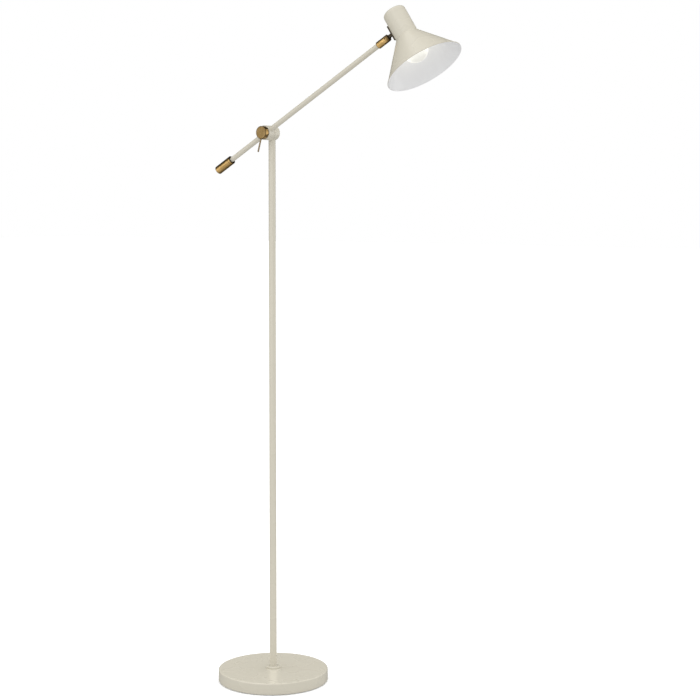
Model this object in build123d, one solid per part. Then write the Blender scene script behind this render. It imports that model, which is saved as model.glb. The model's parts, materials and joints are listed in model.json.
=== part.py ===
"""Adjustable arm floor lamp: a round weighted base, a slim post, and a
counterweighted arm that carries a cone shade.

Millimetres. The origin is on the floor under the middle of the base. +Z is up,
the arm lies in the XZ direction with the shade towards +X, and the clamp knob
faces -Y. Every piece is written as its own STEP file.
"""
from build123d import *
import math
import os

# ---------------------------------------------------------------- base
BASE_R = 127.5
BASE_H = 27.5
SHELL_WALL = 2.0
SHELL_LIFT = 1.2
SHELL_EDGE_R = 2.6
PAD_R = 122.0
PAD_H = 2.5
COVER_R = 124.0
COVER_H = 1.5
WEIGHT_R = 124.8
POCKET_R = 20.0
POCKET_TOP = 14.0
CHANNEL_W = 9.4
COVER_SCREW_PCD_R = 95.0
COVER_SCREW_R = 2.0
GLAND_Z = 9.2
GLAND_R = 4.5
GLAND_BORE_R = 3.0

# ---------------------------------------------------------------- post
POST_R = 8.0
POST_WALL = 1.0
COLLAR_R = 16.0
COLLAR_H = 5.0
NIPPLE_R = 5.0
NIPPLE_BORE_R = 3.3
FOOT_BUSH_TOP = 62.0
STUD_R = 4.0
STUD_BORE_R = 2.5
MAINS_LEAD_R = 2.2

# ---------------------------------------------------------------- pivot
PIVOT_Z = 1269.0
BARREL_R = 16.25
REAR_BLOCK_HALF = 9.3
SOCKET_DEPTH = 10.0
WASHER_T = 0.9
PIVOT_GAP = 0.1
FRONT_BLOCK_L = 19.2
KNOB_R = 14.4
KNOB_T = 10.6
SPINDLE_R = 4.0
RUNNING_CLEARANCE = 0.05
SPINDLE_HEAD_R = 7.0
SPINDLE_HEAD_T = 3.0
COUNTERBORE_R = 8.0
COUNTERBORE_DEPTH = 4.5
LEVER_R = 1.8
LEVER_REACH = 45.0
LEVER_LEAN = 15.6

# ---------------------------------------------------------------- arm
ARM_ANGLE = 30.5
ARM_R = 5.75
ARM_WALL = 1.0
ARM_TAIL = -150.0
ARM_TIP = 351.6
COUNTERWEIGHT_R = 9.75
COUNTERWEIGHT_FRONT = -117.0
COUNTERWEIGHT_L = 48.0
ARM_LEAD_R = 1.7
SPIGOT_R = 5.5

# ---------------------------------------------------------------- swivel and tilt joint
SLEEVE_R = 8.0
SLEEVE_START = 352.0
TILT_AT = 377.0
SLEEVE_END = TILT_AT + SLEEVE_R
SLOT_W = 6.6
SLOT_START = TILT_AT - SLEEVE_R
TONGUE_T = 6.0
TONGUE_R = 6.0
PIN_R = 1.6

# ---------------------------------------------------------------- head
HEAD_LEAN = 33.5
HEAD_OFFSET = 46.0
ARM_LINE_DEPTH = 41.4
CAP_R = 25.2
CAP_WALL = 1.2
CAP_L = 63.8
CAP_EDGE_R = 7.0
SHADE_R = 87.3
SHADE_L = 80.5
SHADE_NECK_R = 26.4
SHADE_WALL = 0.9
WEB_HOLE_R = 19.2
SADDLE_L = 35.0
SADDLE_W = 18.0
SADDLE_T = 2.0
SADDLE_SCREW_HALF = 12.0

# ---------------------------------------------------------------- lamp holder and bulb
HOLDER_R = 19.0
HOLDER_TOP = 24.0
HOLDER_MOUTH = 70.0
BRACKET_TOP = 21.5
BRACKET_T = 1.5
BRACKET_W = 14.0
BULB_R = 27.5
BULB_TIP = 128.3
BULB_CONTACT = 33.3
BULB_THREAD_R = 13.1

# ---------------------------------------------------------------- worked out from the sizes above
FRONT_BLOCK_NEAR = REAR_BLOCK_HALF + WASHER_T + PIVOT_GAP
FRONT_BLOCK_FAR = FRONT_BLOCK_NEAR + FRONT_BLOCK_L
ARM_PLANE = FRONT_BLOCK_NEAR + FRONT_BLOCK_L / 2
KNOB_NEAR = FRONT_BLOCK_FAR + WASHER_T
KNOB_FAR = KNOB_NEAR + KNOB_T
POST_TOP = PIVOT_Z - SOCKET_DEPTH
STUD_TOP = PIVOT_Z - SPINDLE_R - 0.6
ARM_DIR = Vector(math.cos(math.radians(ARM_ANGLE)), 0, math.sin(math.radians(ARM_ANGLE)))
HEAD_DIR = Vector(math.sin(math.radians(HEAD_LEAN)), 0, -math.cos(math.radians(HEAD_LEAN)))
TOWARDS_ARM = Vector(-math.cos(math.radians(HEAD_LEAN)), 0, -math.sin(math.radians(HEAD_LEAN)))

# Each frame is a place to build in: local Z runs along the named direction.
BARREL = Plane(origin=(0, 0, PIVOT_Z), x_dir=(1, 0, 0), z_dir=(0, -1, 0)).location
ARM_ORIGIN = Vector(0, -ARM_PLANE, PIVOT_Z)
ARM = Plane(origin=ARM_ORIGIN, x_dir=(0, 1, 0), z_dir=ARM_DIR).location
CAP_TOP = ARM_ORIGIN + ARM_DIR * (TILT_AT + HEAD_OFFSET) - HEAD_DIR * ARM_LINE_DEPTH
HEAD = Plane(origin=CAP_TOP, x_dir=TOWARDS_ARM, z_dir=HEAD_DIR).location
TILT_PIN = ARM_ORIGIN + ARM_DIR * TILT_AT
PIN_X = (TILT_PIN - CAP_TOP).dot(TOWARDS_ARM)
PIN_DEPTH = (TILT_PIN - CAP_TOP).dot(HEAD_DIR)
SADDLE_FACE = CAP_R + SADDLE_T

MARGIN = 1.0
FROM_BOTTOM = (Align.CENTER, Align.CENTER, Align.MIN)


def rod(radius, start, end):
    """A cylinder on local Z from start to end."""
    return Pos(0, 0, start) * Cylinder(radius, end - start, align=FROM_BOTTOM)


def tube(outer, inner, start, end):
    """A pipe on local Z from start to end."""
    return rod(outer, start, end) - rod(inner, start - MARGIN, end + MARGIN)


def ring_edges(shape, radius, height):
    """The round edges of one radius at one height on local Z."""
    edges = shape.edges().filter_by(GeomType.CIRCLE)
    return [e for e in edges if abs(e.radius - radius) < 0.01 and abs(e.arc_center.Z - height) < 0.01]


def turned(*outline):
    """A solid of revolution about local Z from (radius, height) points."""
    face = make_face(Polyline(*[(r, 0, z) for r, z in outline], close=True))
    return revolve(face, Axis.Z)


def hexagon(across_flats, start, end):
    """A hexagonal bar on local Z."""
    section = RegularPolygon(across_flats / 2, 6, major_radius=False)
    return Pos(0, 0, start) * extrude(section, end - start)


def grub_screw(radius, length):
    """A headless screw, tip at local Z 0, with a hexagon socket in its outer end."""
    return rod(radius, 0, length) - hexagon(radius, length * 0.55, length + MARGIN)


def pan_screw(radius, length, head_r, head_h):
    """A pan-head screw: shank from local Z -length to 0, cross-cut head above."""
    head = rod(head_r, 0, head_h)
    head = fillet(ring_edges(head, head_r, head_h), head_h * 0.45)
    slot = Pos(0, 0, head_h) * Box(head_r * 1.3, head_r * 0.28, head_h * 0.8)
    return rod(radius, -length, 0) + head - slot - Rot(0, 0, 90) * slot


# ================================================================ base pieces
def base_shell():
    shell = rod(BASE_R, SHELL_LIFT, BASE_H)
    shell = fillet(ring_edges(shell, BASE_R, BASE_H), SHELL_EDGE_R)
    shell = fillet(ring_edges(shell, BASE_R, SHELL_LIFT), 0.8)
    hollow = rod(BASE_R - SHELL_WALL, 0, BASE_H - SHELL_WALL)
    hollow = fillet(ring_edges(hollow, BASE_R - SHELL_WALL, BASE_H - SHELL_WALL), SHELL_EDGE_R - SHELL_WALL)
    gland_hole = Pos(-BASE_R, 0, GLAND_Z) * Rot(0, 90, 0) * Cylinder(GLAND_R, 4 * SHELL_WALL)
    return shell - hollow - rod(NIPPLE_R, 0, BASE_H + MARGIN) - gland_hole


def base_weight():
    bottom = PAD_H + COVER_H
    top = BASE_H - SHELL_WALL
    disc = rod(WEIGHT_R, bottom, top)
    disc = chamfer(ring_edges(disc, WEIGHT_R, top), 2.0)
    channel_h = POCKET_TOP - bottom
    channel = Pos(-WEIGHT_R / 2, 0, bottom + channel_h / 2) * Box(WEIGHT_R + MARGIN, CHANNEL_W, channel_h)
    disc -= rod(POCKET_R, bottom - MARGIN, POCKET_TOP) + channel
    disc -= rod(NIPPLE_R, bottom, top + MARGIN)
    for place in cover_screw_places():
        disc -= place * rod(COVER_SCREW_R, bottom - MARGIN, bottom + 9)
    return disc


def cover_screw_places():
    return PolarLocations(COVER_SCREW_PCD_R, 3, start_angle=60)


def countersunk(radius):
    """The cone of a countersunk head, widest at the underside of the cover."""
    return turned((0, PAD_H), (2 * radius, PAD_H), (radius, PAD_H + COVER_H), (0, PAD_H + COVER_H))


def base_cover():
    plate = rod(COVER_R, PAD_H, PAD_H + COVER_H)
    for place in cover_screw_places():
        plate -= place * countersunk(COVER_SCREW_R)
    return plate


def base_cover_screws():
    screw = countersunk(COVER_SCREW_R) + rod(COVER_SCREW_R, PAD_H + COVER_H, PAD_H + COVER_H + 8)
    screw -= hexagon(2.5, PAD_H - MARGIN, PAD_H + 1.2)
    return Compound(children=[place * screw for place in cover_screw_places()])


def base_pad():
    return rod(PAD_R, 0, PAD_H)


def cable_gland():
    """A flanged rubber bush in the back edge of the base, open right through."""
    flange = fillet(ring_edges(rod(7.0, 0, 3.0), 7.0, 3.0), 1.2)
    bush = flange + rod(GLAND_R, -7.0, 0)
    bush -= rod(GLAND_BORE_R, -8.0, 4.0)
    return Pos(-BASE_R, 0, GLAND_Z) * Rot(0, -90, 0) * bush


# ================================================================ post pieces
def post_nipple():
    return tube(NIPPLE_R, NIPPLE_BORE_R, 6.0, FOOT_BUSH_TOP - 7)


def post_washer():
    return tube(13.0, NIPPLE_R, POCKET_TOP - 2, POCKET_TOP)


def post_nut():
    return hexagon(17.0, POCKET_TOP - 7, POCKET_TOP - 2) - rod(NIPPLE_R, 0, POCKET_TOP)


def post_collar():
    collar = rod(COLLAR_R, BASE_H, BASE_H + COLLAR_H)
    collar = fillet(ring_edges(collar, COLLAR_R, BASE_H + COLLAR_H), 2.2)
    return collar - rod(POST_R, BASE_H - MARGIN, BASE_H + COLLAR_H + MARGIN)


def post_foot_bush():
    return tube(POST_R - POST_WALL, NIPPLE_R, BASE_H, FOOT_BUSH_TOP)


def post_tube():
    return tube(POST_R, POST_R - POST_WALL, BASE_H, POST_TOP)


def post_top_bush():
    return tube(POST_R - POST_WALL, STUD_R, POST_TOP - 22, POST_TOP)


def post_top_stud():
    return tube(STUD_R, STUD_BORE_R, POST_TOP - 18, STUD_TOP)


def post_lead():
    return rod(MAINS_LEAD_R, 8.0, STUD_TOP - 1.0)


# ================================================================ pivot pieces, built along the barrel
def pivot_block_rear():
    block = rod(BARREL_R, -REAR_BLOCK_HALF, REAR_BLOCK_HALF)
    block = fillet(ring_edges(block, BARREL_R, -REAR_BLOCK_HALF), 1.6)
    block = fillet(ring_edges(block, BARREL_R, REAR_BLOCK_HALF), 0.5)
    block -= rod(COUNTERBORE_R, -REAR_BLOCK_HALF - MARGIN, -REAR_BLOCK_HALF + COUNTERBORE_DEPTH)
    block -= rod(SPINDLE_R, -REAR_BLOCK_HALF, REAR_BLOCK_HALF + MARGIN)
    block = BARREL * block
    block -= rod(POST_R, PIVOT_Z - BARREL_R - MARGIN, POST_TOP)
    block -= rod(STUD_R, POST_TOP - MARGIN, STUD_TOP)
    block -= rod(STUD_BORE_R, POST_TOP, PIVOT_Z)
    return block - rod(1.5, PIVOT_Z, PIVOT_Z + BARREL_R + MARGIN)


def rear_cover_cap():
    outer = -REAR_BLOCK_HALF
    disc = rod(COUNTERBORE_R, outer, outer + 1.3)
    return BARREL * chamfer(ring_edges(disc, COUNTERBORE_R, outer), 0.3)


def spindle_lock_screw():
    return Pos(0, 0, PIVOT_Z + SPINDLE_R) * grub_screw(1.5, 7.0)


def pivot_spindle():
    """A hollow shouldered screw: the lead enters below and leaves into the arm."""
    head_from = -REAR_BLOCK_HALF + COUNTERBORE_DEPTH
    tip = KNOB_FAR - 2.0
    body = rod(SPINDLE_R, head_from, tip) + rod(SPINDLE_HEAD_R, head_from - SPINDLE_HEAD_T, head_from)
    body = chamfer(ring_edges(body, SPINDLE_R, tip), 0.6)
    body -= hexagon(5.0, head_from - SPINDLE_HEAD_T - MARGIN, head_from - 1)
    body -= rod(2.4, -3.0, ARM_PLANE + 2.4)
    lead_entry = Pos(0, -SPINDLE_R, 0) * Rot(90, 0, 0) * Cylinder(2.4, 2 * SPINDLE_R)
    lead_exit = Pos(SPINDLE_R, 0, ARM_PLANE) * Box(2 * SPINDLE_R, 2 * SPINDLE_R, 4.8)
    return BARREL * (body - lead_entry - lead_exit)


def friction_washer_rear():
    return BARREL * tube(14.0, SPINDLE_R + 0.1, REAR_BLOCK_HALF, REAR_BLOCK_HALF + WASHER_T)


def pivot_block_front():
    block = rod(BARREL_R, FRONT_BLOCK_NEAR, FRONT_BLOCK_FAR)
    for end in (FRONT_BLOCK_NEAR, FRONT_BLOCK_FAR):
        block = fillet(ring_edges(block, BARREL_R, end), 0.5)
    bore = rod(SPINDLE_R + RUNNING_CLEARANCE, FRONT_BLOCK_NEAR - MARGIN, FRONT_BLOCK_FAR + MARGIN)
    block = BARREL * (block - bore)
    block -= ARM * rod(ARM_R, -2 * BARREL_R, 2 * BARREL_R)
    return block - arm_lock_place() * rod(1.5, 0, BARREL_R)


def arm_lock_place():
    """Where the arm's grub screw stands: on the tube, square to it, in the top of the block."""
    return ARM * Pos(0, 0, 10) * Rot(0, 0, 90) * Rot(0, 90, 0) * Pos(0, 0, ARM_R)


def arm_lock_screw():
    return arm_lock_place() * grub_screw(1.5, 5.0)


def friction_washer_front():
    return BARREL * tube(11.0, SPINDLE_R + 0.1, FRONT_BLOCK_FAR, FRONT_BLOCK_FAR + WASHER_T - PIVOT_GAP)


def lever_rod(start, end):
    lever = fillet(ring_edges(rod(LEVER_R, start, end), LEVER_R, end), 1.2)
    middle = (KNOB_NEAR + KNOB_FAR) / 2
    return BARREL * Pos(0, 0, middle) * Rot(0, 0, -LEVER_LEAN) * Rot(90, 0, 0) * lever


def clamp_knob():
    knob = rod(KNOB_R, KNOB_NEAR, KNOB_FAR)
    knob = fillet(ring_edges(knob, KNOB_R, KNOB_FAR), 1.1)
    knob = fillet(ring_edges(knob, KNOB_R, KNOB_NEAR), 0.6)
    knob -= rod(SPINDLE_R + RUNNING_CLEARANCE, KNOB_NEAR - MARGIN, KNOB_FAR - 1.6)
    return BARREL * knob - lever_rod(9.0, LEVER_REACH)


def clamp_lever():
    return lever_rod(9.0, LEVER_REACH)


# ================================================================ arm pieces, built along the arm
def arm_tube():
    pipe = ARM * tube(ARM_R, ARM_R - ARM_WALL, ARM_TAIL, ARM_TIP)
    return pipe - BARREL * rod(SPINDLE_R + 0.4, FRONT_BLOCK_NEAR, FRONT_BLOCK_FAR)


def counterweight():
    back = COUNTERWEIGHT_FRONT - COUNTERWEIGHT_L
    body = rod(COUNTERWEIGHT_R, back, COUNTERWEIGHT_FRONT)
    body = fillet(ring_edges(body, COUNTERWEIGHT_R, back), 1.6)
    body = chamfer(ring_edges(body, COUNTERWEIGHT_R, COUNTERWEIGHT_FRONT), 0.7)
    body -= rod(ARM_R, ARM_TAIL, COUNTERWEIGHT_FRONT + MARGIN)
    body -= rod(7.4, COUNTERWEIGHT_FRONT - 1.5, COUNTERWEIGHT_FRONT + MARGIN)
    body -= tube(COUNTERWEIGHT_R + MARGIN, COUNTERWEIGHT_R - 0.5, COUNTERWEIGHT_FRONT - 6.6, COUNTERWEIGHT_FRONT - 5.8)
    return ARM * body - counterweight_screw_place() * rod(1.5, 0, COUNTERWEIGHT_R)


def counterweight_screw_place():
    return ARM * Pos(0, 0, COUNTERWEIGHT_FRONT - 14) * Rot(0, 0, 90) * Rot(0, 90, 0) * Pos(0, 0, ARM_R)


def counterweight_screw():
    return counterweight_screw_place() * grub_screw(1.5, 3.6)


def arm_spigot():
    """The turned end piece that the swivel sleeve runs on."""
    body = rod(ARM_R - ARM_WALL, ARM_TIP - 28, ARM_TIP) + rod(SPIGOT_R, ARM_TIP, ARM_TIP + 14.8)
    body -= tube(SPIGOT_R + MARGIN, SPIGOT_R - 1.0, ARM_TIP + 6.0, ARM_TIP + 9.0)
    return ARM * (body - rod(ARM_LEAD_R + 0.2, ARM_TIP - 30, ARM_TIP + 20))


def arm_lead():
    return ARM * rod(ARM_LEAD_R, 8.0, ARM_TIP + 13)


# ================================================================ swivel pieces
def swivel_sleeve():
    body = rod(SLEEVE_R, SLEEVE_START, SLEEVE_END)
    body = fillet(ring_edges(body, SLEEVE_R, SLEEVE_END), 2.6)
    body = chamfer(ring_edges(body, SLEEVE_R, SLEEVE_START), 0.8)
    body -= rod(SPIGOT_R + RUNNING_CLEARANCE, SLEEVE_START - MARGIN, ARM_TIP + 15.4)
    slot_l = SLEEVE_END - SLOT_START + MARGIN
    slot = Pos(0, 0, SLOT_START + slot_l / 2) * Box(SLOT_W, 4 * SLEEVE_R, slot_l)
    body -= slot + Pos(0, 0, TILT_AT) * Rot(0, 90, 0) * Cylinder(PIN_R, 4 * SLEEVE_R)
    body = body - rod(ARM_LEAD_R, SLEEVE_START, SLEEVE_END)
    return ARM * body - sleeve_screw_place() * rod(1.0, 0, SLEEVE_R)


def sleeve_screw_place():
    return ARM * Pos(0, 0, ARM_TIP + 7.5) * Rot(0, 0, 90) * Rot(0, 90, 0) * Pos(0, 0, SPIGOT_R - 0.6)


def sleeve_screw():
    return sleeve_screw_place() * grub_screw(1.0, 2.6)


def tilt_pin():
    pin = rod(PIN_R, -SLEEVE_R + 0.3, SLEEVE_R - 0.3)
    return ARM * Pos(0, 0, TILT_AT) * Rot(0, 90, 0) * pin


# ================================================================ head pieces, built down the shade's axis
def tilt_tongue():
    """An eye on the tilt pin with a square neck that reaches the saddle."""
    eye = Pos(PIN_X, 0, PIN_DEPTH) * Rot(90, 0, 0) * Cylinder(TONGUE_R, TONGUE_T)
    neck_l = PIN_X - SADDLE_FACE
    neck = Pos(PIN_X - neck_l / 2, 0, PIN_DEPTH) * Box(neck_l, TONGUE_T, TONGUE_T)
    hole = Pos(PIN_X, 0, PIN_DEPTH) * Rot(90, 0, 0) * Cylinder(PIN_R + RUNNING_CLEARANCE, 2 * TONGUE_T)
    return HEAD * (eye + neck - hole)


def curved_strip(outer, thickness, width, start, end):
    """A strip bent round the cap's axis on the side of the arm."""
    strip = tube(outer, outer - thickness, start, end)
    return strip & Pos(outer, 0, (start + end) / 2) * Box(outer, width, 2 * (end - start))


def saddle_screw_places():
    return [Pos(0, 0, PIN_DEPTH + d) * Rot(0, 90, 0) for d in (-SADDLE_SCREW_HALF, SADDLE_SCREW_HALF)]


def saddle_holes():
    holes = [place * rod(1.5, CAP_R - 6, CAP_R + 6) for place in saddle_screw_places()]
    return holes[0] + holes[1]


def saddle_plate():
    """A plate with a flat outer face and an inner face hollowed to the cap."""
    edge_of_cap = math.sqrt(CAP_R**2 - (SADDLE_W / 2) ** 2)
    thickest = SADDLE_FACE - edge_of_cap - 0.1
    plate = Pos(SADDLE_FACE - thickest / 2, 0, PIN_DEPTH) * Box(thickest, SADDLE_W, SADDLE_L)
    return HEAD * (plate - rod(CAP_R, 0, CAP_L) - saddle_holes())


def saddle_screws():
    screw = Pos(0, 0, SADDLE_FACE) * pan_screw(1.5, SADDLE_T + 5.6, 2.7, 1.7)
    return Compound(children=[HEAD * place * screw for place in saddle_screw_places()])


def saddle_nuts():
    inner_face = CAP_R - CAP_WALL - BRACKET_T - 0.35
    nut = hexagon(5.5, inner_face - 2.4, inner_face) - rod(1.5, 0, CAP_R)
    return Compound(children=[HEAD * place * nut for place in saddle_screw_places()])


def shade_cap():
    cap = rod(CAP_R, 0, CAP_L)
    cap = fillet(ring_edges(cap, CAP_R, 0), CAP_EDGE_R)
    inner_r = CAP_R - CAP_WALL
    hollow = rod(inner_r, CAP_WALL, CAP_L + MARGIN)
    hollow = fillet(ring_edges(hollow, inner_r, CAP_WALL), CAP_EDGE_R - CAP_WALL)
    return HEAD * (cap - hollow - saddle_holes())


def shade_cone():
    """A spun cone with a flat web at its neck and a rolled hem at its rim."""
    rim = CAP_L + SHADE_L
    slope = math.atan2(SHADE_R - SHADE_NECK_R, SHADE_L - 1.4)
    across = SHADE_WALL / math.cos(slope)
    neck = CAP_L + 1.4
    shell = turned(
        (WEB_HOLE_R, CAP_L),
        (SHADE_NECK_R - 0.5, CAP_L),
        (SHADE_NECK_R, CAP_L + 0.5),
        (SHADE_NECK_R, neck),
        (SHADE_R, rim),
        (SHADE_R - across, rim),
        (SHADE_NECK_R - across, neck),
        (WEB_HOLE_R, neck),
    )
    hem = Pos(0, 0, rim - 0.6) * Torus(SHADE_R - 0.9, 1.0)
    return HEAD * (shell + hem)


def holder_bracket():
    """A bent steel strip: one leg on the cap's wall, one under the top nut."""
    inner_r = CAP_R - CAP_WALL
    leg = curved_strip(inner_r, BRACKET_T, BRACKET_W, BRACKET_TOP, PIN_DEPTH + SADDLE_L / 2)
    foot = rod(inner_r, BRACKET_TOP, BRACKET_TOP + BRACKET_T)
    foot &= Pos(inner_r / 2 - 4.5, 0, BRACKET_TOP) * Box(inner_r + 9, BRACKET_W, 4 * BRACKET_T)
    return HEAD * (leg + foot - rod(NIPPLE_R, 0, CAP_L) - saddle_holes())


def holder_nipple():
    return HEAD * tube(NIPPLE_R, NIPPLE_BORE_R, BRACKET_TOP - 7, HOLDER_TOP + 5)


def holder_nut():
    return HEAD * (hexagon(14.0, BRACKET_TOP - 4, BRACKET_TOP) - rod(NIPPLE_R, 0, CAP_L))


def holder_body():
    """The insulating lamp holder: closed top, flange over the web, open mouth below."""
    body = rod(HOLDER_R, BRACKET_TOP + BRACKET_T, HOLDER_MOUTH)
    body = fillet(ring_edges(body, HOLDER_R, BRACKET_TOP + BRACKET_T), 3.0)
    body += rod(22.5, CAP_L - 3.5, CAP_L)
    body -= rod(NIPPLE_R, 0, HOLDER_TOP + 5)
    body -= rod(15.0, HOLDER_TOP + 7.5, HOLDER_MOUTH + MARGIN)
    return HEAD * (body - rod(16.8, HOLDER_MOUTH - 9.0, HOLDER_MOUTH + MARGIN))


def holder_shell():
    return HEAD * tube(15.0, 14.2, 36.0, 59.0)


def holder_contact():
    """The springy centre tongue that the bulb's tip presses on."""
    floor = HOLDER_TOP + 7.5
    strip = Pos(2.0, 0, floor + 0.3) * Box(14.0, 5.0, 0.6)
    dome = turned((0, floor + 0.6), (2.5, floor + 0.6), (1.2, floor + 1.4), (0, floor + 1.4))
    return HEAD * (strip + dome)


def shade_ring():
    """The threaded ring that clamps the cone's web to the holder."""
    web_face = CAP_L + 1.4
    ring = tube(23.0, HOLDER_R, web_face, web_face + 4.2)
    return HEAD * fillet(ring_edges(ring, 23.0, web_face + 4.2), 1.2)


# ================================================================ bulb pieces
def bulb_glass():
    """A closed pear-shaped envelope: neck, flare and a round end."""
    centre = BULB_TIP - BULB_R
    start = BULB_CONTACT + 19.0
    join_angle = math.radians(38)
    join_r = BULB_R * math.cos(join_angle)
    join_z = centre - BULB_R * math.sin(join_angle)
    neck_r = BULB_THREAD_R - 0.6
    neck_z = BULB_CONTACT + 28.0
    base = Line((0, 0, start), (neck_r, 0, start))
    wall = Line((neck_r, 0, start), (neck_r, 0, neck_z))
    flare = Spline(
        (neck_r, 0, neck_z),
        (join_r, 0, join_z),
        tangents=[(0, 0, 1), (math.sin(join_angle), 0, math.cos(join_angle))],
        tangent_scalars=[0.9, 0.9],
    )
    globe = ThreePointArc((join_r, 0, join_z), (BULB_R, 0, centre), (0, 0, BULB_TIP))
    axis = Line((0, 0, BULB_TIP), (0, 0, start))
    return HEAD * revolve(make_face([base, wall, flare, globe, axis]), Axis.Z)


def bulb_thread():
    """The screw shell, with its rolled thread as rounded ridges."""
    start = BULB_CONTACT + 5.0
    end = BULB_CONTACT + 26.0
    shell = rod(BULB_THREAD_R - 0.6, start, end)
    pitch = 3.6
    for turn in range(5):
        shell += Pos(0, 0, start + 2.4 + turn * pitch) * Torus(BULB_THREAD_R - 0.9, 0.9)
    return HEAD * (shell - rod(BULB_THREAD_R - 0.6, BULB_CONTACT + 19.0, end)
                   + tube(BULB_THREAD_R, BULB_THREAD_R - 0.6, BULB_CONTACT + 19.0, end))


def bulb_insulator():
    top = BULB_CONTACT + 1.6
    return HEAD * turned((0, top), (4.5, top), (9.0, top + 3.4), (0, top + 3.4))


def bulb_contact():
    return HEAD * rod(4.5, BULB_CONTACT, BULB_CONTACT + 1.6)


PIECES = [
    base_pad, base_cover, base_cover_screws, base_weight, base_shell, cable_gland,
    post_nipple, post_washer, post_nut, post_collar, post_foot_bush, post_tube,
    post_lead, post_top_bush, post_top_stud,
    pivot_block_rear, rear_cover_cap, pivot_spindle, spindle_lock_screw, friction_washer_rear,
    pivot_block_front, arm_lock_screw, friction_washer_front, arm_tube, counterweight,
    counterweight_screw, arm_spigot, arm_lead,
    clamp_knob, clamp_lever,
    swivel_sleeve, sleeve_screw, tilt_pin,
    tilt_tongue, saddle_plate, saddle_screws, saddle_nuts, shade_cap, shade_cone,
    holder_bracket, holder_nipple, holder_nut, holder_body, holder_shell, holder_contact, shade_ring,
    bulb_glass, bulb_thread, bulb_insulator, bulb_contact,
]

os.makedirs("parts", exist_ok=True)
for piece in PIECES:
    export_step(piece(), f"parts/{piece.__name__}.step")
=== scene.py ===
"""Looks of the adjustable arm floor lamp: materials, small turned details, light and camera."""
import json
import math

import bpy
from mathutils import Matrix, Vector


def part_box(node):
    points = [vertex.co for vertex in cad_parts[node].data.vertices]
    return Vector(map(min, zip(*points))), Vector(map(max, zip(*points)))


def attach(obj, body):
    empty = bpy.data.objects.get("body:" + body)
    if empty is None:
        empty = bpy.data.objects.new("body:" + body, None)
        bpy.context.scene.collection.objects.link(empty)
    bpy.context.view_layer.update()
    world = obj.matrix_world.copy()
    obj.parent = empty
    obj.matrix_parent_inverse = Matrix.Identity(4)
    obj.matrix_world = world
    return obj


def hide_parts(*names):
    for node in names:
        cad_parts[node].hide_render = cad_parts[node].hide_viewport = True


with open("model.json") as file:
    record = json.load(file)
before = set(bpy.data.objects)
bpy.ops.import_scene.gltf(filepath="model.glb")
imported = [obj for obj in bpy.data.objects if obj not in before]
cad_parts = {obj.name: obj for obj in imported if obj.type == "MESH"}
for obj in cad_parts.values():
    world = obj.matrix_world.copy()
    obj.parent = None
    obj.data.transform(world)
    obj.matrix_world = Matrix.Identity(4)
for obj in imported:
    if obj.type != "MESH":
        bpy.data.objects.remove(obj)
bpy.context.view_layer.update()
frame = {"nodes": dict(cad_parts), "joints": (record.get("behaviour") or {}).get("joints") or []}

NODES = frame["nodes"]
JOINTS = {joint["name"]: joint for joint in frame["joints"]}
MM = 0.001
UP = Vector((0, 0, 1))


# ---------------------------------------------------------------- places, read from the frame
def centre(node):
    """The middle of a node's box."""
    low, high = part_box(node)
    return (low + high) / 2


PIVOT = Vector(JOINTS["arm_tilt"]["pos_m"])
BARREL_AXIS = Vector((0, -1, 0))
ARM_AXIS = Vector(JOINTS["head_swivel"]["axis"]).normalized()
HEAD_AXIS = Vector(JOINTS["bulb_unscrew"]["axis"]).normalized()
HEAD_ORIGIN = centre("bulb_contact")
BARREL_ORIGIN = Vector((0, 0, PIVOT.z))


def reach(node, origin, axis):
    """How far a node runs along an axis from origin, and its largest radius round it."""
    places = [(v.co - origin) for v in NODES[node].data.vertices]
    along = [p.dot(axis) for p in places]
    radius = max((p - axis * a).length for p, a in zip(places, along))
    return min(along), max(along), radius


# ---------------------------------------------------------------- shader building
RANGE_SOCKETS = ("From Min", "From Max", "To Min", "To Max")


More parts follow.
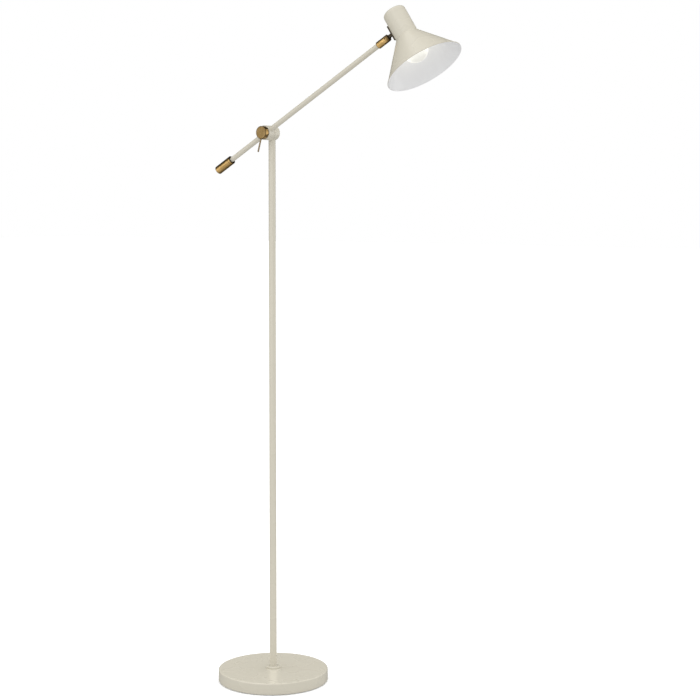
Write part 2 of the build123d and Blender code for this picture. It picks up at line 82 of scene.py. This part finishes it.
class Shader:
    """A material with one Principled shader and short calls to wire nodes into it."""

    def __init__(self, name, **constants):
        self.material = bpy.data.materials.new(name)
        self.material.use_nodes = True
        self.tree = self.material.node_tree
        self.bsdf = self.tree.nodes["Principled BSDF"]
        for socket, value in constants.items():
            self.bsdf.inputs[socket.replace("_", " ")].default_value = value

    def node(self, kind, **settings):
        new = self.tree.nodes.new(kind)
        for key, value in settings.items():
            setattr(new, key, value)
        return new

    def link(self, start, end):
        self.tree.links.new(start, end)

    def position(self):
        """Object coordinates, in metres in the row frame at rest."""
        return self.node("ShaderNodeTexCoord").outputs["Object"]

    def math(self, operation, first, second=None, clamp=False):
        new = self.node("ShaderNodeMath", operation=operation, use_clamp=clamp)
        for socket, value in zip(new.inputs, (first, second)):
            if value is None:
                continue
            if isinstance(value, (int, float)):
                socket.default_value = value
            else:
                self.link(value, socket)
        return new.outputs[0]

    def along(self, origin, axis):
        """Distance along an axis from origin."""
        offset = self.node("ShaderNodeVectorMath", operation="SUBTRACT")
        self.link(self.position(), offset.inputs[0])
        offset.inputs[1].default_value = origin
        dot = self.node("ShaderNodeVectorMath", operation="DOT_PRODUCT")
        self.link(offset.outputs[0], dot.inputs[0])
        dot.inputs[1].default_value = axis
        return dot.outputs["Value"]

    def radius(self, origin, axis):
        """Distance from an axis through origin."""
        offset = self.node("ShaderNodeVectorMath", operation="SUBTRACT")
        self.link(self.position(), offset.inputs[0])
        offset.inputs[1].default_value = origin
        cross = self.node("ShaderNodeVectorMath", operation="CROSS_PRODUCT")
        self.link(offset.outputs[0], cross.inputs[0])
        cross.inputs[1].default_value = axis
        length = self.node("ShaderNodeVectorMath", operation="LENGTH")
        self.link(cross.outputs[0], length.inputs[0])
        return length.outputs["Value"]

    def noise(self, scale, detail=2.0, roughness=0.5, value=None):
        """3-D noise over the surface, or 1-D noise over a value."""
        new = self.node("ShaderNodeTexNoise")
        new.inputs["Scale"].default_value = scale
        new.inputs["Detail"].default_value = detail
        new.inputs["Roughness"].default_value = roughness
        if value is None:
            self.link(self.position(), new.inputs["Vector"])
        else:
            new.noise_dimensions = "1D"
            self.link(value, new.inputs["W"])
        return new.outputs["Fac"]

    def remap(self, value, low, high, to_low, to_high, smooth=True):
        new = self.node("ShaderNodeMapRange")
        new.interpolation_type = "SMOOTHSTEP" if smooth else "LINEAR"
        self.link(value, new.inputs["Value"])
        for socket, number in zip(RANGE_SOCKETS, (low, high, to_low, to_high)):
            new.inputs[socket].default_value = number
        return new.outputs["Result"]

    def mix(self, factor, first, second):
        """Mixes two colours, each a colour or a socket."""
        new = self.node("ShaderNodeMix", data_type="RGBA")
        self.link(factor, new.inputs["Factor"])
        for socket, value in ((new.inputs[6], first), (new.inputs[7], second)):
            if isinstance(value, tuple):
                socket.default_value = (*value, 1.0)
            else:
                self.link(value, socket)
        return new.outputs[2]

    def base(self, colour):
        self.link(colour, self.bsdf.inputs["Base Color"])

    def rough(self, value):
        self.link(value, self.bsdf.inputs["Roughness"])

    def bump(self, height, depth):
        """Raises the surface by height times depth in metres."""
        new = self.node("ShaderNodeBump")
        new.inputs["Distance"].default_value = depth
        new.inputs["Strength"].default_value = 1.0
        self.link(height, new.inputs["Height"])
        self.link(new.outputs["Normal"], self.bsdf.inputs["Normal"])


# ---------------------------------------------------------------- materials
CREAM_WARM = (0.628, 0.592, 0.493)
CREAM_DUSTY = (0.618, 0.584, 0.488)
PEEL_DEPTH = 0.00001


def enamel(name, light=CREAM_WARM, dark=CREAM_DUSTY, rough=0.27):
    """Semi-gloss powder coat: fine orange peel, and a very faint warm and cool drift."""
    shader = Shader(name, Specular_IOR_Level=0.45)
    shader.base(shader.mix(shader.remap(shader.noise(4.0, 0.0), 0.1, 0.9, 0, 1), dark, light))
    shader.rough(shader.remap(shader.noise(22.0, 1.0), 0.3, 0.7, rough - 0.012, rough + 0.012))
    coarse = shader.math("MULTIPLY", shader.noise(160.0, 1.0), 1.6)
    peel = shader.math("ADD", shader.noise(420.0, 1.0), coarse)
    shader.bump(peel, PEEL_DEPTH)
    return shader.material


BRASS_YELLOW = (0.700, 0.462, 0.188)
BRASS_OLIVE = (0.450, 0.305, 0.134)
BRASS_SHADE = (0.72, 0.70, 0.62)
# near-black brass colour, painted where dark reflection and shade fall
PAINTED_DARK_BRASS = (0.085, 0.058, 0.026)


def brass_painted_dark_at_ends(name, origin, axis, length, radius, tone=BRASS_YELLOW, ends=(2.0, 2.0), face=False):
    """Turned brass with painted dark reflection and shade towards its ends and round the rim of a face, and
    fine lathe lines.

    length is the (start, end) of the piece along the axis, and ends says how many
    millimetres of each are dark. The lines follow the radius on a face and the
    length elsewhere.
    """
    shader = Shader(name, Metallic=1.0)
    along = shader.along(origin, axis)
    from_axis = shader.radius(origin, axis)
    lines = shader.noise(4200.0, 3.0, 0.7, value=from_axis if face else along)
    cloud = shader.noise(70.0, 4.0, 0.6)
    start, end = length
    # painted dark reflection and shade: the colour goes near black over the first and last millimetres, and
    # round the rim of a face
    near_start = shader.remap(along, start, start + ends[0] * MM, 1, 0)
    near_end = shader.remap(along, end - ends[1] * MM, end, 0, 1)
    dark_ends = shader.math("MAXIMUM", near_start, near_end)
    if face:
        rim = shader.remap(from_axis, radius - 2.6 * MM, radius, 0, 1)
        dark_ends = shader.math("MAXIMUM", shader.math("MULTIPLY", dark_ends, 0.25), rim)
    painted_dark = shader.math("MULTIPLY", dark_ends, shader.remap(cloud, 0.3, 0.6, 0.8, 1.0))
    shaded = tuple(a * b for a, b in zip(tone, BRASS_SHADE))
    metal_colour = shader.mix(shader.remap(cloud, 0.35, 0.68, 0, 1), shaded, tone)
    metal_colour = shader.mix(shader.remap(lines, 0.3, 0.75, 0, 0.4), metal_colour, shaded)
    shader.base(shader.mix(painted_dark, metal_colour, PAINTED_DARK_BRASS))
    rough = shader.math("ADD", shader.remap(lines, 0.3, 0.7, 0.24, 0.34), shader.math("MULTIPLY", painted_dark, 0.18))
    shader.rough(rough)
    shader.bump(lines, 0.000008)
    return shader.material


def metal(name, colour, rough, grain=1800.0, depth=0.00001):
    """A plain plated or turned metal with a fine grain."""
    shader = Shader(name, Metallic=1.0)
    dark = tuple(0.72 * c for c in colour)
    grainy = shader.noise(grain, 3.0, 0.6)
    shader.base(shader.mix(shader.remap(shader.noise(110.0, 4.0), 0.3, 0.7, 0, 1), dark, colour))
    shader.rough(shader.remap(grainy, 0.3, 0.7, rough - 0.06, rough + 0.08))
    shader.bump(grainy, depth)
    return shader.material


def moulded(name, colour, rough, grain=1400.0, depth=0.00003, **constants):
    """Moulded plastic or rubber with a fine tool texture."""
    shader = Shader(name, **constants)
    dark = tuple(0.86 * c for c in colour)
    texture = shader.noise(grain, 3.0, 0.6)
    shader.base(shader.mix(shader.remap(shader.noise(40.0, 3.0), 0.3, 0.7, 0, 1), dark, colour))
    shader.rough(shader.remap(texture, 0.3, 0.7, rough - 0.05, rough + 0.07))
    shader.bump(texture, depth)
    return shader.material


def casting(name):
    """Grey iron as it leaves the sand."""
    shader = Shader(name, Metallic=0.7)
    sand = shader.noise(520.0, 5.0, 0.65)
    shader.base(shader.mix(shader.remap(sand, 0.3, 0.7, 0, 1), (0.035, 0.034, 0.033), (0.11, 0.10, 0.095)))
    shader.rough(shader.remap(sand, 0.3, 0.7, 0.55, 0.8))
    shader.bump(sand, 0.00025)
    return shader.material


def shade_inside(name):
    """The white lining of the cone, with the faint rings of metal spinning."""
    shader = Shader(name, Specular_IOR_Level=0.4)
    along = shader.along(HEAD_ORIGIN, HEAD_AXIS)
    rings = shader.noise(900.0, 2.0, 0.5, value=along)
    drift = shader.remap(shader.noise(14.0, 2.0), 0.35, 0.65, 0, 1)
    shader.base(shader.mix(drift, (0.81, 0.81, 0.815), (0.84, 0.84, 0.845)))
    shader.rough(shader.remap(rings, 0.3, 0.7, 0.34, 0.44))
    shader.bump(shader.math("ADD", rings, shader.noise(420.0, 1.0)), 0.000015)
    return shader.material


def lit_bulb(name):
    """Opal glass lit from inside: brightest round its middle, softer at the tip, warm and dim at the neck."""
    shader = Shader(name, Roughness=0.22, Specular_IOR_Level=0.5)
    low, high, _ = reach("bulb_glass", HEAD_ORIGIN, HEAD_AXIS)
    length = high - low
    along = shader.along(HEAD_ORIGIN, HEAD_AXIS)
    neck = shader.remap(along, low, low + 0.5 * length, 1, 0)
    tip = shader.remap(along, high - 0.45 * length, high, 0, 1)
    shader.base(shader.mix(neck, (0.36, 0.355, 0.335), (0.50, 0.47, 0.42)))
    glow = shader.mix(neck, (1.0, 0.985, 0.90), (1.0, 0.84, 0.58))
    shader.link(glow, shader.bsdf.inputs["Emission Color"])
    dimmed = shader.math("ADD", shader.math("MULTIPLY", neck, 0.8), shader.math("MULTIPLY", tip, 0.95))
    shader.link(shader.math("SUBTRACT", 1.5, dimmed), shader.bsdf.inputs["Emission Strength"])
    shader.material.cycles.emission_sampling = "NONE"
    return shader.material


# ---------------------------------------------------------------- dressing the CAD nodes
DRESSED = set()


def dress(node, *materials):
    mesh = NODES[node].data
    mesh.materials.clear()
    for material in materials:
        mesh.materials.append(material)
    DRESSED.add(node)


def paint_faces(node, index, wanted):
    """Gives the faces that wanted(middle, normal) picks the material at index."""
    for face in NODES[node].data.polygons:
        face.material_index = index if wanted(face.center, face.normal) else 0


SHADE_HEM = 1.6 * MM


def dress_enamel():
    cream = enamel("cream_enamel")
    for node in ("base_shell", "post_collar", "post_tube", "pivot_block_rear", "rear_cover_cap",
                 "pivot_block_front", "arm_tube", "shade_cap"):
        dress(node, cream)
    dress("shade_cone", cream, shade_inside("shade_white"))
    _, high, _ = reach("shade_cone", HEAD_ORIGIN, HEAD_AXIS)
    hem = high - SHADE_HEM

    def inner(middle, normal):
        offset = middle - HEAD_ORIGIN
        along = offset.dot(HEAD_AXIS)
        outwards = offset - HEAD_AXIS * along
        if along > hem:
            return normal.dot(outwards.normalized()) < 0.3
        return normal.dot(outwards) < 0 and normal.dot(HEAD_AXIS) > 0.1

    paint_faces("shade_cone", 1, inner)


def dress_brass():
    low, high, radius = reach("counterweight", PIVOT, ARM_AXIS)
    side = brass_painted_dark_at_ends("counterweight_brass", PIVOT, ARM_AXIS, (low, high), radius, ends=(1.4, 2.2))
    # painted dark reflection and shade: the counterweight's face towards the pivot gets a near-black brass
    # colour
    end = metal("counterweight_face_painted_dark_reflection", (0.060, 0.042, 0.022), 0.5)
    dress("counterweight", side, end)
    paint_faces("counterweight", 1, lambda middle, normal: normal.dot(ARM_AXIS) > 0.6)
    low, high, radius = reach("swivel_sleeve", PIVOT, ARM_AXIS)
    dress("swivel_sleeve", brass_painted_dark_at_ends("sleeve_brass", PIVOT, ARM_AXIS, (low, high), radius, ends=(2.2, 11.0)))
    low, high, radius = reach("clamp_knob", BARREL_ORIGIN, BARREL_AXIS)
    span = (low, high)
    side = brass_painted_dark_at_ends("knob_side_brass", BARREL_ORIGIN, BARREL_AXIS, span, radius)
    face = brass_painted_dark_at_ends("knob_face_brass", BARREL_ORIGIN, BARREL_AXIS, span, radius, tone=BRASS_OLIVE, face=True)
    dress("clamp_knob", side, face)
    paint_faces("clamp_knob", 1, lambda middle, normal: normal.dot(BARREL_AXIS) > 0.75)
    dress("clamp_lever", metal("lever_brass", (0.34, 0.255, 0.15), 0.34))
    dress("arm_spigot", metal("spigot_brass", BRASS_OLIVE, 0.3))
    for node in ("holder_shell", "holder_contact", "bulb_contact"):
        dress(node, metal(node + "_brass", (0.72, 0.50, 0.22), 0.28))


def dress_the_rest():
    dress("base_weight", casting("cast_iron"))
    rubber = moulded("black_rubber", (0.030, 0.030, 0.031), 0.75, 2600.0, 0.00008)
    for node in ("base_pad", "cable_gland"):
        dress(node, rubber)
    nylon = moulded("nylon", (0.74, 0.72, 0.66), 0.45)
    for node in ("friction_washer_rear", "friction_washer_front"):
        dress(node, nylon)
    thermoset = moulded("white_thermoset", (0.80, 0.79, 0.76), 0.34)
    for node in ("holder_body", "shade_ring"):
        dress(node, thermoset)
    dress("bulb_insulator", moulded("black_glass", (0.02, 0.02, 0.025), 0.12))
    dress("bulb_thread", metal("nickel_shell", (0.74, 0.73, 0.70), 0.24))
    dress("bulb_glass", lit_bulb("opal_glass"))
    sheath = moulded("lead_sheath", (0.66, 0.63, 0.56), 0.55)
    for node in ("post_lead", "arm_lead"):
        dress(node, sheath)
    bronzed = metal("bronzed_steel", (0.085, 0.070, 0.050), 0.42)
    for node in ("tilt_tongue", "saddle_plate", "saddle_screws", "tilt_pin", "sleeve_screw",
                 "counterweight_screw", "arm_lock_screw", "spindle_lock_screw"):
        dress(node, bronzed)
    zinc = metal("zinc_plate", (0.62, 0.62, 0.60), 0.34)
    for node in NODES:
        if node not in DRESSED:
            dress(node, zinc)


# ---------------------------------------------------------------- turned details that replace plainer CAD nodes
def turned_piece(name, origin, axis, outline, segments, swell=None):
    """A closed ring of one outline of (radius, distance) points, turned about an axis.

    swell(radius, distance, angle) may change the radius, which makes ribs and threads.
    """
    turn = axis.to_track_quat("Z", "Y").to_matrix()
    points = []
    for step in range(segments):
        angle = 2 * math.pi * step / segments
        for radius, distance in outline:
            grown = swell(radius, distance, angle) if swell else radius
            local = Vector((grown * math.cos(angle), grown * math.sin(angle), distance))
            points.append(origin + turn @ local)
    count = len(outline)
    faces = []
    for step in range(segments):
        here, there = step * count, (step + 1) % segments * count
        for i in range(count):
            j = (i + 1) % count
            faces.append((here + i, there + i, there + j, here + j))
    mesh = bpy.data.meshes.new(name)
    mesh.from_pydata(points, [], faces)
    mesh.shade_smooth()
    mesh.set_sharp_from_angle(angle=math.radians(40))
    piece = bpy.data.objects.new(name, mesh)
    bpy.context.scene.collection.objects.link(piece)
    return piece


def stand_for(piece, node, body):
    """The piece takes the place, the body and the finish of a CAD node."""
    for material in NODES[node].data.materials:
        piece.data.materials.append(material)
    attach(piece, body)
    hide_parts(node)


def rows(start, end, count):
    """Evenly spaced distances from start to end."""
    return [start + (end - start) * i / (count - 1) for i in range(count)]


THREAD_PITCH = 3.6 * MM
THREAD_DEPTH = 0.9 * MM


def bulb_screw_shell():
    """The bulb's pressed shell, with its real helical thread."""
    low, high, radius = reach("bulb_thread", HEAD_ORIGIN, HEAD_AXIS)
    end_of_thread = high - 2.0 * MM

    def thread(r, distance, angle):
        if r < radius - 2 * THREAD_DEPTH or not low < distance < end_of_thread:
            return r
        wave = 0.5 + 0.5 * math.cos(2 * math.pi * distance / THREAD_PITCH - angle)
        return r - THREAD_DEPTH * (1 - wave)

    outer = [(radius, distance) for distance in rows(low + 0.3 * MM, high, 60)]
    inner = [(radius - 2.2 * MM, high), (radius - 2.2 * MM, low)]
    outline = [(radius - 1.4 * MM, low)] + outer + inner
    piece = turned_piece("bulb_screw_shell", HEAD_ORIGIN, HEAD_AXIS, outline, 96, thread)
    stand_for(piece, "bulb_thread", "bulb")


GRIP_RIBS = 40
GRIP_DEPTH = 0.45 * MM
RING_BORE = 19.0 * MM
RING_SOFT_EDGE = 1.2 * MM


def shade_clamp_ring():
    """The ring that holds the cone, with ribs for the fingers round its edge."""
    low, high, radius = reach("shade_ring", HEAD_ORIGIN, HEAD_AXIS)
    bore, soft = RING_BORE, RING_SOFT_EDGE

    def ribs(r, distance, angle):
        if r < radius - 0.01 * MM or not low + 0.4 * MM < distance:
            return r
        return r - GRIP_DEPTH * (0.5 + 0.5 * math.cos(GRIP_RIBS * angle)) ** 2

    bend = [(radius - soft + soft * math.cos(a), high - soft + soft * math.sin(a))
            for a in (math.radians(d) for d in (15, 30, 45, 60, 75, 90))]
    wall = [(radius, distance) for distance in rows(low, high - soft, 8)]
    outline = [(bore, low)] + wall + bend + [(bore + 0.4 * MM, high), (bore, high - 0.4 * MM)]
    piece = turned_piece("shade_clamp_ring", HEAD_ORIGIN, HEAD_AXIS, outline, GRIP_RIBS * 8, ribs)
    stand_for(piece, "shade_ring", "head")


PAD_GROOVES = 9
GROOVE_DEPTH = 0.9 * MM
GROOVE_W = 3.0 * MM


def ringed_base_pad():
    """The rubber pad, with moulded rings on the face that stands on the floor."""
    low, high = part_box("base_pad")
    radius = (high.x - low.x) / 2
    thickness = high.z
    outline = [(0.2 * MM, thickness), (0.2 * MM, 0)]
    for distance in rows(18 * MM, radius - 9 * MM, PAD_GROOVES):
        side = GROOVE_W / 2
        outline += [(distance - side, 0), (distance - 0.6 * side, GROOVE_DEPTH),
                    (distance + 0.6 * side, GROOVE_DEPTH), (distance + side, 0)]
    outline += [(radius - 0.6 * MM, 0), (radius, 0.6 * MM), (radius, thickness)]
    piece = turned_piece("base_pad_rings", Vector((0, 0, 0)), UP, outline, 180)
    stand_for(piece, "base_pad", "stand")


# ---------------------------------------------------------------- stage, light and camera
VIEW_SIDE = (0.61, -0.79, 0.0)
LIT_SIDE = (-0.05, 0.06, 0.997)
ROOM_LOW = 0.90
ROOM_ABOVE = 1.47
FLOOR_GLOW = 0.16
FLOOR_Z = -0.0003
FLOOR_BOUNCE = (0.62, 0.62, 0.62)


def stage():
    """A pale floor, overexposed to white as the camera sees it.

    What it throws on the lamp is softer, and in gloss its far side is dim, as
    where a studio sweep ends.
    """
    bpy.ops.mesh.primitive_plane_add(size=60.0, location=(0, 0, FLOOR_Z))
    floor = bpy.context.object
    floor.name = "studio_floor"
    shader = Shader("studio_floor", Roughness=0.9, Specular_IOR_Level=0.05)
    shader.base(shader.mix(shader.noise(0.4, 2.0), (0.93, 0.93, 0.93), (0.95, 0.95, 0.95)))
    shader.bsdf.inputs["Emission Color"].default_value = (1, 1, 1, 1)
    shader.bsdf.inputs["Emission Strength"].default_value = FLOOR_GLOW
    shader.material.cycles.emission_sampling = "NONE"
    path = shader.node("ShaderNodeLightPath")
    far = shader.remap(shader.along((0, 0, 0), VIEW_SIDE), -0.3, 0.5, 1, 0)
    dim = shader.math("MULTIPLY", far, path.outputs["Is Glossy Ray"])
    bounce = shader.node("ShaderNodeBsdfDiffuse")
    shader.link(shader.mix(dim, FLOOR_BOUNCE, (0.1, 0.1, 0.1)), bounce.inputs["Color"])
    seen = shader.node("ShaderNodeMixShader")
    shader.link(path.outputs["Is Camera Ray"], seen.inputs["Fac"])
    shader.link(bounce.outputs[0], seen.inputs[1])
    shader.link(shader.bsdf.outputs[0], seen.inputs[2])
    shader.link(seen.outputs[0], shader.tree.nodes["Material Output"].inputs["Surface"])
    floor.data.materials.append(shader.material)


def gloss_panel(name, place, size, radiance, target):
    """A soft panel that only gloss mirrors, with an even radiance."""
    light = bpy.data.lights.new(name, "AREA")
    light.shape = "RECTANGLE"
    light.size, light.size_y = size
    light.energy = radiance * math.pi * size[0] * size[1]
    panel = bpy.data.objects.new(name, light)
    panel.location = place
    panel.rotation_euler = (Vector(target) - Vector(place)).to_track_quat("-Z", "Y").to_euler()
    panel.visible_camera = False
    panel.visible_diffuse = False
    bpy.context.scene.collection.objects.link(panel)


CAMERA_PLACE = Vector((2.271, -2.933, 1.125))
CAMERA_AZIMUTH = 35.0
CAMERA_PITCH = -5.4
CAMERA_ROLL = 0.12
CAMERA_LENS = 83.28


def surroundings():
    """White behind everything, and a soft room light, strongest from above."""
    world = bpy.data.worlds.new("studio")
    bpy.context.scene.world = world
    world.use_nodes = True
    world.cycles_visibility.glossy = False
    world.cycles.sampling_method = "NONE"
    tree = world.node_tree
    tree.nodes.clear()

    def background():
        node = tree.nodes.new("ShaderNodeBackground")
        node.inputs["Color"].default_value = (1, 1, 1, 1)
        return node

    coords = tree.nodes.new("ShaderNodeTexCoord")
    front = tree.nodes.new("ShaderNodeVectorMath")
    front.operation = "DOT_PRODUCT"
    front.inputs[1].default_value = LIT_SIDE
    tree.links.new(coords.outputs["Generated"], front.inputs[0])
    ramp = tree.nodes.new("ShaderNodeMapRange")
    for socket, number in zip(RANGE_SOCKETS, (-0.2, 1.0, ROOM_LOW, ROOM_ABOVE)):
        ramp.inputs[socket].default_value = number
    tree.links.new(front.outputs["Value"], ramp.inputs["Value"])
    room = background()
    tree.links.new(ramp.outputs["Result"], room.inputs["Strength"])
    mix = tree.nodes.new("ShaderNodeMixShader")
    path = tree.nodes.new("ShaderNodeLightPath")
    tree.links.new(path.outputs["Is Camera Ray"], mix.inputs["Fac"])
    tree.links.new(room.outputs[0], mix.inputs[1])
    tree.links.new(background().outputs[0], mix.inputs[2])
    output = tree.nodes.new("ShaderNodeOutputWorld")
    tree.links.new(mix.outputs[0], output.inputs["Surface"])


def camera():
    data = bpy.data.cameras.new("camera")
    data.lens = CAMERA_LENS
    data.clip_end = 100.0
    body = bpy.data.objects.new("camera", data)
    bpy.context.scene.collection.objects.link(body)
    turn = Matrix.Rotation(math.radians(CAMERA_AZIMUTH), 4, "Z")
    tip = Matrix.Rotation(math.radians(90 + CAMERA_PITCH), 4, "X")
    roll = Matrix.Rotation(math.radians(CAMERA_ROLL), 4, "Z")
    body.matrix_world = Matrix.Translation(CAMERA_PLACE) @ turn @ tip @ roll
    bpy.context.scene.camera = body


dress_enamel()
dress_brass()
dress_the_rest()
bulb_screw_shell()
shade_clamp_ring()
ringed_base_pad()
stage()
surroundings()
gloss_panel("front_panel", (0.2, -3.5, 2.1), (9.0, 4.2), 1.05, (0.0, 0.0, 1.3))
gloss_panel("side_panel", (2.6, 3.2, 1.4), (2.2, 3.0), 1.1, (0.0, 0.0, 1.3))
gloss_panel("sky_panel", (0.0, -1.2, 3.9), (5.0, 4.6), 1.0, (0.0, 0.0, 1.2))
camera()
bpy.context.scene.view_settings.view_transform = "Standard"
